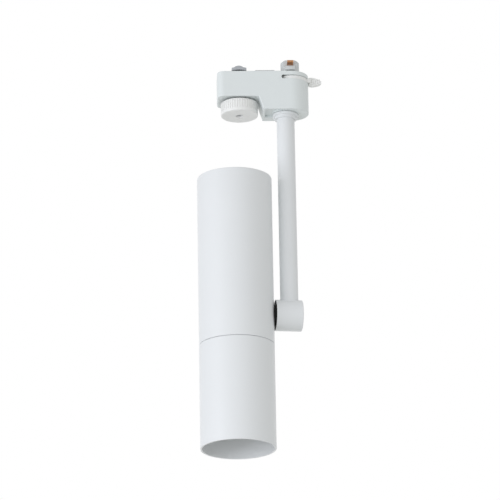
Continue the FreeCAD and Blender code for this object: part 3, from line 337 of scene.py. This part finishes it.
low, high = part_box("lock_spring")
spring_wire = 0.45 * MM     # the wire's radius
spring_length = high.z - low.z
spring_sizes = {"Radius": (high.x - low.x) / 2 - spring_wire, "Height": spring_length - 2 * spring_wire,
                "Turns": 5.0, "Wire": spring_wire}
spring_tree, given = geometry_tree("wound_spring", **spring_sizes)
coil = add(spring_tree, "GeometryNodeCurveSpiral", {
    "Resolution": 48, "Rotations": given["Turns"], "Start Radius": given["Radius"],
    "End Radius": given["Radius"], "Height": given["Height"]})
section = add(spring_tree, "GeometryNodeCurvePrimitiveCircle", {"Resolution": 14, "Radius": given["Wire"]})
wound = add(spring_tree, "GeometryNodeCurveToMesh", {
    "Curve": coil.outputs["Curve"], "Profile Curve": section.outputs["Curve"], "Fill Caps": True})
finish_tree(spring_tree, wound.outputs["Mesh"], spring_steel)

lock_axis = Vector(joints["lock_turn"]["pos_m"])
spring = grow("lock_spring_coil", spring_tree,
              Matrix.Translation((lock_axis.x, lock_axis.y, low.z + spring_wire)), **spring_sizes)
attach(spring, "adapter")
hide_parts("lock_spring")
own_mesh(spring)

# ---------------------------------------------------------------- pan bearing
# Inside the housing the stem hangs on a hollow threaded nipple of zinc-plated steel, in a flanged bush of
# natural acetal. A nut above it sets how stiffly the lamp pans. Natural acetal is milky and waxy.
natural_acetal = moulded_plastic("natural_acetal", "#e9e6dc", "#e0ddd2", 0.4, 1.48)
natural_acetal.node_tree.nodes["Principled BSDF"].inputs["Subsurface Weight"].default_value = 0.15
natural_acetal.node_tree.nodes["Principled BSDF"].inputs["Subsurface Radius"].default_value = (MM, MM, MM)
dress(natural_acetal, "pan_bush", "pan_washer")
dress(zinc_plate, "pan_stop_washer", "pan_nut")


def add_tube(tree, middle, wall, length):
    """A plain tube round the origin, along Z: a rectangle carried round a circle."""
    ring = add(tree, "GeometryNodeCurvePrimitiveCircle", {"Resolution": 64, "Radius": middle})
    section = add(tree, "GeometryNodeCurvePrimitiveQuadrilateral", {"Width": wall, "Height": length})
    swept = add(tree, "GeometryNodeCurveToMesh", {"Curve": ring.outputs["Curve"],
                                                  "Profile Curve": section.outputs["Curve"]})
    return swept.outputs["Mesh"]


THREAD_RADIUS = 5.0 * MM    # M10 x 1, the lighting trade's thread
THREAD_PITCH = 1.0 * MM
THREAD_DEPTH = 0.55 * MM
THREAD_BORE = 3.6 * MM
THREAD_ROOT = THREAD_RADIUS - THREAD_DEPTH


def thread_sizes(length):
    """The thread tree's inputs for a hollow M10 nipple of this length."""
    helix_height = length - 2 * THREAD_DEPTH
    return {"Middle": (THREAD_ROOT + THREAD_BORE) / 2, "Wall": THREAD_ROOT - THREAD_BORE, "Length": length,
            "Turns": helix_height / THREAD_PITCH, "Root": THREAD_ROOT, "Ridge": THREAD_DEPTH,
            "Helix": helix_height}


low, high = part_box("stem_nipple")
stem_nipple_length = high.z - low.z
thread_tree, given = geometry_tree("threaded_tube", **thread_sizes(stem_nipple_length))
tube = add_tube(thread_tree, given["Middle"], given["Wall"], given["Length"])
helix = add(thread_tree, "GeometryNodeCurveSpiral", {
    "Resolution": 40, "Rotations": given["Turns"], "Start Radius": given["Root"],
    "End Radius": given["Root"], "Height": given["Helix"]})
ridge = add(thread_tree, "GeometryNodeCurvePrimitiveCircle", {"Resolution": 6, "Radius": given["Ridge"]})
wound_ridge = add(thread_tree, "GeometryNodeCurveToMesh", {
    "Curve": helix.outputs["Curve"], "Profile Curve": ridge.outputs["Curve"], "Fill Caps": True})
# the helix starts at the origin, so it is lowered by half its height to meet the centred tube
drop = add(thread_tree, "ShaderNodeMath", {0: given["Helix"], 1: -0.5}, operation="MULTIPLY")
sunk = add(thread_tree, "ShaderNodeCombineXYZ", {"Z": drop.outputs["Value"]})
centred = add(thread_tree, "GeometryNodeTransform", {"Geometry": wound_ridge.outputs["Mesh"],
                                                     "Translation": sunk.outputs["Vector"]})
both = add(thread_tree, "GeometryNodeJoinGeometry", {"Geometry": [tube, centred.outputs["Geometry"]]})
finish_tree(thread_tree, both.outputs["Geometry"], zinc_plate)


def threaded_tube(name, middle, along, length, body):
    """A hollow zinc-plated nipple with its thread, in place of the CAD's smooth one."""
    turn = Vector((0, 0, 1)).rotation_difference(along).to_matrix().to_4x4()
    nipple = grow(name + "_thread", thread_tree, Matrix.Translation(middle) @ turn, **thread_sizes(length))
    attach(nipple, body)
    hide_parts(name)


threaded_tube("stem_nipple", (low + high) / 2, Vector((0, 0, 1)), stem_nipple_length, "stem")


# ---------------------------------------------------------------- stem
# A straight drawn tube with a stepped collar at its top, both aluminium under a white polyester powder
# coat. The coat melts and levels as it bakes: satin, with a slight orange peel 2 to 3 mm across.
def powder_coat(name, light, dark):
    """Satin polyester powder coat."""
    material, tree, shader, place = new_material(name)
    shader.inputs["IOR"].default_value = 1.5
    tint(tree, shader, patches(tree, place, 40.0), dark, light)
    gloss(tree, shader, patches(tree, place, 11.0), 0.34, 0.44)
    peel = patches(tree, place, 2.4, 1.0)
    grains = patches(tree, place, 0.6, 2.0)
    relief(tree, shader, [(peel, 0.03), (grains, 0.008)])
    return material


white_powder = powder_coat("white_powder_coat", "#e6e9ea", "#e2e5e6")
dress(white_powder, "stem_collar", "stem_tube")
dress(zinc_plate, "tube_inserts")
low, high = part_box("knuckle_nipple")
threaded_tube("knuckle_nipple", (low + high) / 2, Vector((0, 0, 1)), high.z - low.z, "stem")

# ---------------------------------------------------------------- knuckle and tilt axle
# A short turned cup lies across the stem's foot and holds the barrel's axle. It has the same coat. A
# moulded disc of matt black nylon keeps it off the barrel, and zinc-plated nuts clamp the hollow axle.
dress(white_powder, "knuckle_body", "knuckle_cap")
black_nylon = moulded_plastic("black_nylon", "#0d0d0e", "#08080a", 0.66, 1.53)
dress(black_nylon, "saddle_spacer")
dress(zinc_plate, "tilt_washer", "tilt_nut", "clamp_plate", "axle_nut")
low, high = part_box("tilt_axle")
tilt_line = Vector(joints["tilt"]["axis"]).normalized()
# the box is that of a cylinder lying askew, so its width across is length x cosine + diameter x sine
axle_length = (high.x - low.x - 2 * THREAD_RADIUS * abs(tilt_line.y)) / abs(tilt_line.x)
threaded_tube("tilt_axle", (low + high) / 2, tilt_line, axle_length, "head")

# ---------------------------------------------------------------- upper barrel and its cap
# A thin-walled aluminium tube, cut to length and turned true at its ends. A pressed lid with a ring of
# vent slots sits 1 mm down in its top. Both have the stem's satin white coat.
dress(white_powder, "upper_barrel", "top_cap")

# ---------------------------------------------------------------- coupling ring
# A sleeve turned from aluminium bar and left bare, so it shows the lathe's rings. A ring of nitrile
# rubber in its groove, dull and black, holds the front barrel on by friction.
turned_aluminium, tree, shader, place = new_material("turned_aluminium")
shader.inputs["Metallic"].default_value = 1.0
shader.inputs["Anisotropic"].default_value = 0.5
RING_SPACING = 2.5133 * MM  # the real feed is about 0.1 mm a turn; the rings are drawn wider, to show
WAVE_LENGTH = 2 * math.pi / 20      # from one band of a wave texture of scale 1 to the next
rings = add(tree, "ShaderNodeTexWave", {"Vector": place, "Scale": WAVE_LENGTH / RING_SPACING,
                                        "Distortion": 0.4, "Detail": 2.0}, bands_direction="Z").outputs["Fac"]
tint(tree, shader, patches(tree, place, 6.0), "#c3c6c9", "#d3d6d9")
gloss(tree, shader, patches(tree, place, 4.0), 0.24, 0.36)
relief(tree, shader, [(rings, 0.015)])
dress(turned_aluminium, "coupling_ring")

nitrile, tree, shader, place = new_material("black_nitrile_rubber")
shader.inputs["IOR"].default_value = 1.52
shader.inputs["Sheen Weight"].default_value = 0.2
tint(tree, shader, patches(tree, place, 3.0), "#151515", "#1e1e1f")
gloss(tree, shader, patches(tree, place, 1.5), 0.5, 0.66)
relief(tree, shader, [(patches(tree, place, 0.3), 0.01)])
dress(nitrile, "grip_ring")

# ---------------------------------------------------------------- lamp socket and its bridge
# The two-pin socket is pressed and fired steatite, an unglazed off-white ceramic with faint specks.
# Two screws hold it under a bent steel bridge. Sprung bronze sleeves in its holes take the lamp's pins.
dress(zinc_plate, "socket_bridge", "bridge_screws", "socket_screws")
steatite, tree, shader, place = new_material("fired_steatite")
shader.inputs["IOR"].default_value = 1.6
specks = add(tree, "ShaderNodeMapRange", {"Value": patches(tree, place, 0.5, 1.0), "From Min": 0.66,
                                          "From Max": 0.74}).outputs["Result"]
tint(tree, shader, specks, "#e6e2d7", "#cdc6b6")
gloss(tree, shader, patches(tree, place, 2.0), 0.5, 0.64)
relief(tree, shader, [(patches(tree, place, 0.7), 0.03)])
dress(steatite, "lamp_socket")

# a sleeve's wall lies between the pin's head, 2.4 mm in radius, and the hole, 2.8 mm
sleeve_sizes = {"Middle": 2.62 * MM, "Wall": 0.26 * MM, "Length": 6.5 * MM}
sleeve_tree, given = geometry_tree("plain_tube", **sleeve_sizes)
finish_tree(sleeve_tree, add_tube(sleeve_tree, given["Middle"], given["Wall"], given["Length"]),
            phosphor_bronze)
PIN_OFFSET = 5.0 * MM       # GU10: pins 10 mm apart
low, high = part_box("lamp_pins")
barrel_axis = (low + high) / 2
pin_line = Vector((-tilt_line.y, tilt_line.x, 0))
for side, polarity in ((-1, "live"), (1, "neutral")):
    place = barrel_axis + side * PIN_OFFSET * pin_line
    place.z = high.z
    sleeve = grow("socket_sleeve_" + polarity, sleeve_tree, Matrix.Translation(place), **sleeve_sizes)
    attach(sleeve, "head")

# ---------------------------------------------------------------- supply wires
# Each lead is stranded copper in an extruded silicone sleeve, brown for live and blue for neutral. The
# silicone stands the lamp's heat. It is smooth, with a soft, slightly greasy sheen.
for polarity, light, dark in (("live", "#6b4327", "#5c3820"), ("neutral", "#2f62a8", "#28579a")):
    sleeve, tree, shader, place = new_material("silicone_sleeve_" + polarity)
    shader.inputs["IOR"].default_value = 1.43
    tint(tree, shader, patches(tree, place, 5.0), dark, light)
    gloss(tree, shader, patches(tree, place, 2.0), 0.36, 0.46)
    relief(tree, shader, [(patches(tree, place, 0.6), 0.01)])
    dress(sleeve, *(f"{part}_{polarity}_wire" for part in ("adapter", "turret", "stem", "head")))

# ---------------------------------------------------------------- front barrel
# The same tube as the upper barrel, open at both ends and coated inside and out. It pushes over the
# coupling ring, which leaves a shadow line between the two lengths.
dress(white_powder, "front_barrel")

# ---------------------------------------------------------------- lamp shell and pins
# The shell of a reflector lamp is die-cast aluminium with cooling fins, under a satin white coat that is
# duller than the barrel's. Its two pins are nickel-plated brass, warm and bright.
lamp_coat = powder_coat("lamp_shell_coat", "#dcdddd", "#d3d5d6")
dress(lamp_coat, "lamp_shell")
nickel = plated_steel("nickel_plate", "#d6d2c8", "#c2beb5", 0.16)
dress(nickel, "lamp_pins")

# ---------------------------------------------------------------- lamp board and light chips
# An aluminium board under glossy white solder mask closes the shell's cup. Sixteen light chips are
# soldered to it in a square, each yellow with the phosphor that fills it.
led_board, tree, shader, place = new_material("white_solder_mask")
tint(tree, shader, patches(tree, place, 3.0), "#e4e4e0", "#edede9")
gloss(tree, shader, patches(tree, place, 1.0), 0.3, 0.4)
dress(led_board, "lamp_board")

phosphor, tree, shader, place = new_material("led_phosphor")
tint(tree, shader, patches(tree, place, 1.5), "#e3c95c", "#ecd878")
gloss(tree, shader, patches(tree, place, 0.8), 0.3, 0.45)

chip_sizes = {"Across": 4, "Spacing": 3.0 * MM, "Width": 2.2 * MM, "Height": 0.6 * MM}
chip_tree, given = geometry_tree("light_chips", **chip_sizes)
reach = add(chip_tree, "ShaderNodeMath", {0: given["Across"], 1: given["Spacing"]}, operation="MULTIPLY")
field = add(chip_tree, "ShaderNodeMath", {0: reach.outputs["Value"], 1: given["Spacing"]},
            operation="SUBTRACT")
grid = add(chip_tree, "GeometryNodeMeshGrid", {
    "Size X": field.outputs["Value"], "Size Y": field.outputs["Value"],
    "Vertices X": given["Across"], "Vertices Y": given["Across"]})
chip_box = add(chip_tree, "ShaderNodeCombineXYZ", {"X": given["Width"], "Y": given["Width"],
                                                   "Z": given["Height"]})
chip = add(chip_tree, "GeometryNodeMeshCube", {"Size": chip_box.outputs["Vector"]})
chips = add(chip_tree, "GeometryNodeInstanceOnPoints", {"Points": grid.outputs["Mesh"],
                                                        "Instance": chip.outputs["Mesh"]})
finish_tree(chip_tree, chips.outputs["Instances"], phosphor, smooth=False)

low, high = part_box("lamp_board")
light_chips = grow("lamp_chips", chip_tree, Matrix.Translation((barrel_axis.x, barrel_axis.y, low.z)),
                   **chip_sizes)
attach(light_chips, "lamp")

# ---------------------------------------------------------------- lamp lens
# A disc of injection-moulded acrylic closes the lamp. Rings of small domes on its lower face spread the
# light. It is lightly frosted, so it looks milky, and each dome takes a soft spark.
lens, tree, shader, place = new_material("moulded_acrylic_lens")
shader.inputs["IOR"].default_value = 1.49
shader.inputs["Transmission Weight"].default_value = 0.6
tint(tree, shader, patches(tree, place, 5.0), "#f2f5f5", "#ffffff")
gloss(tree, shader, patches(tree, place, 2.0), 0.16, 0.24)

LENSLET_RINGS = 5
low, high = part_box("lamp_lens")
plate_depth = (high.z - low.z) / 2      # the domes take the other half
lenslet_radius = 2.5 * MM
lens_sizes = {"Radius": (high.x - low.x) / 2, "Thickness": plate_depth, "Pitch": 4.05 * MM,
              "Lenslet": lenslet_radius, "Flatness": plate_depth / lenslet_radius}
lens_tree, given = geometry_tree("lenslet_disc", **lens_sizes)
plate = add(lens_tree, "GeometryNodeMeshCylinder", {"Vertices": 128, "Radius": given["Radius"],
                                                    "Depth": given["Thickness"]})
spots = [add(lens_tree, "GeometryNodePoints", {"Count": 1}).outputs["Points"]]
for ring in range(1, LENSLET_RINGS + 1):
    reach = add(lens_tree, "ShaderNodeMath", {0: given["Pitch"], 1: float(ring)}, operation="MULTIPLY")
    spots.append(add(lens_tree, "GeometryNodeMeshCircle", {
        "Vertices": 6 * ring, "Radius": reach.outputs["Value"]}).outputs["Mesh"])
all_spots = add(lens_tree, "GeometryNodeJoinGeometry", {"Geometry": spots})
ball = add(lens_tree, "GeometryNodeMeshUVSphere", {"Segments": 32, "Rings": 16, "Radius": given["Lenslet"]})
shape = add(lens_tree, "ShaderNodeCombineXYZ", {"X": 1.0, "Y": 1.0, "Z": given["Flatness"]})
lenslets = add(lens_tree, "GeometryNodeInstanceOnPoints", {
    "Points": all_spots.outputs["Geometry"], "Instance": ball.outputs["Mesh"],
    "Scale": shape.outputs["Vector"]})
half = add(lens_tree, "ShaderNodeMath", {0: given["Thickness"], 1: -0.5}, operation="MULTIPLY")
face = add(lens_tree, "ShaderNodeCombineXYZ", {"Z": half.outputs["Value"]})
lowered = add(lens_tree, "GeometryNodeTransform", {"Geometry": lenslets.outputs["Instances"],
                                                   "Translation": face.outputs["Vector"]})
both = add(lens_tree, "GeometryNodeJoinGeometry", {"Geometry": [plate.outputs["Mesh"],
                                                                lowered.outputs["Geometry"]]})
finish_tree(lens_tree, both.outputs["Geometry"], lens, smooth=False)

lens_middle = Vector((barrel_axis.x, barrel_axis.y, high.z - plate_depth / 2))
lens_disc = grow("lamp_lens_disc", lens_tree, Matrix.Translation(lens_middle), **lens_sizes)
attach(lens_disc, "lamp")
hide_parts("lamp_lens")
